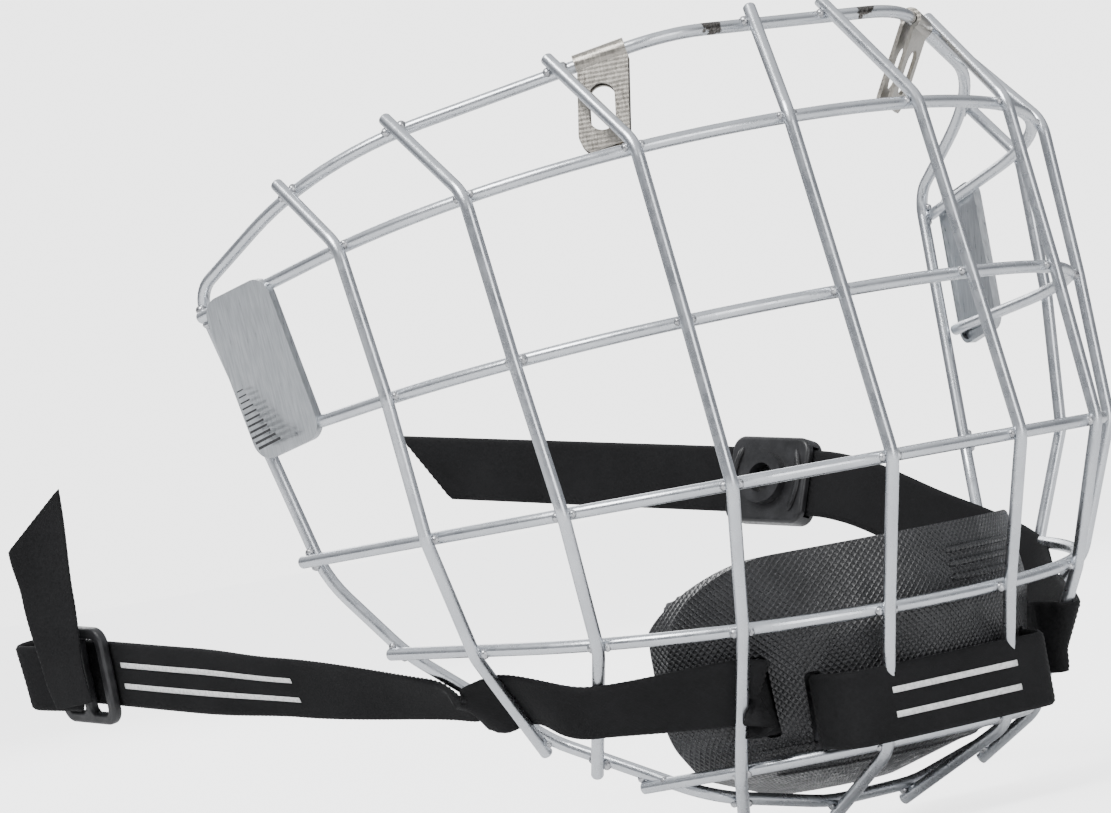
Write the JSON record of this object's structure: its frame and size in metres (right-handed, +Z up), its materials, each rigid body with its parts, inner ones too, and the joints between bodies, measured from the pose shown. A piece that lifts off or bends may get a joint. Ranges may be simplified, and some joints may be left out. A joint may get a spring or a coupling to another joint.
{
  "type": "ice hockey helmet face cage",
  "caption": "Welded round-wire face guard for a hockey helmet, with hinged forehead clips, side plates, a padded chin cup and two webbing chin straps with a slide and a press stud.",
  "frame": {"origin": "middle of the forehead, at the height of the top wire between the two helmet clips", "axes": "+Z up as worn, the face looks along -Y, +X is the wearer's left"},
  "size_m": [0.2152, 0.2579, 0.1772],
  "materials": {
    "wire": "satin plated steel",
    "plate": "brushed stamped sheet",
    "clip": "brushed spring steel",
    "cup": "moulded black with a fine crosshatched panel",
    "liner": "cloth-faced foam",
    "webbing": "coarse woven black webbing",
    "slide": "moulded",
    "snap_housing": "moulded",
    "snap_cap": "black lacquered dome",
    "snap_socket": "plated ring"
  },
  "bodies": {
    "cage": {"brow_wire": "wire", "cheek_wire": "wire", "chin_cup_liner": "liner", "chin_cup_shell": "cup", "chin_wire": "wire", "eye_wire": "wire", "front_strap": "webbing", "left_centre_upright": "wire", "left_cup_strap": "webbing", "left_inner_upright": "wire", "left_middle_upright": "wire", "left_outer_upright": "wire", "left_side_plate": "plate", "mouth_wire": "wire", "perimeter_wire": "wire", "right_centre_upright": "wire", "right_cup_strap": "webbing", "right_inner_upright": "wire", "right_middle_upright": "wire", "right_outer_upright": "wire", "right_side_plate": "plate"},
    "right_clip": {"right_top_clip": "clip"},
    "left_clip": {"left_top_clip": "clip"},
    "right_strap": {"right_strap_tail": "webbing", "right_strap_loop": "webbing", "right_free_end": "webbing"},
    "right_slide": {"right_slide_buckle": "slide"},
    "left_strap": {"left_strap_tail": "webbing"},
    "left_snap": {"left_snap_housing": "snap_housing", "left_snap_socket": "snap_socket", "left_snap_cap": "snap_cap"}
  },
  "joints": [
    {"name": "right_clip_swing", "type": "hinge", "parent": "cage", "child": "right_clip", "pos_m": [-0.044, 0.00276, -0.00043], "axis": [-0.7687, 0.6187, -0.1625], "range_deg": [-120, 12]},
    {"name": "left_clip_swing", "type": "hinge", "parent": "cage", "child": "left_clip", "pos_m": [0.044, 0.00276, -0.00043], "axis": [-0.7687, -0.6187, 0.1625], "range_deg": [-76, 56]},
    {"name": "right_strap_swing", "type": "hinge", "parent": "cage", "child": "right_strap", "pos_m": [-0.07475, 0.06, -0.1293], "axis": [0, 0, 1], "range_deg": [-20, 20]},
    {"name": "left_strap_swing", "type": "hinge", "parent": "cage", "child": "left_strap", "pos_m": [0.0656, 0.0565, -0.1114], "axis": [0, 0, 1], "range_deg": [-20, 20]},
    {"name": "right_slide_travel", "type": "slide", "parent": "right_strap", "child": "right_slide", "axis": [-0.0868, 0.987, 0.1356], "range_m": [-0.03, 0]},
    {"name": "left_snap_travel", "type": "slide", "parent": "left_strap", "child": "left_snap", "axis": [-0.2058, 0.964, 0.1681], "range_m": [0, 0.055]}
  ]
}
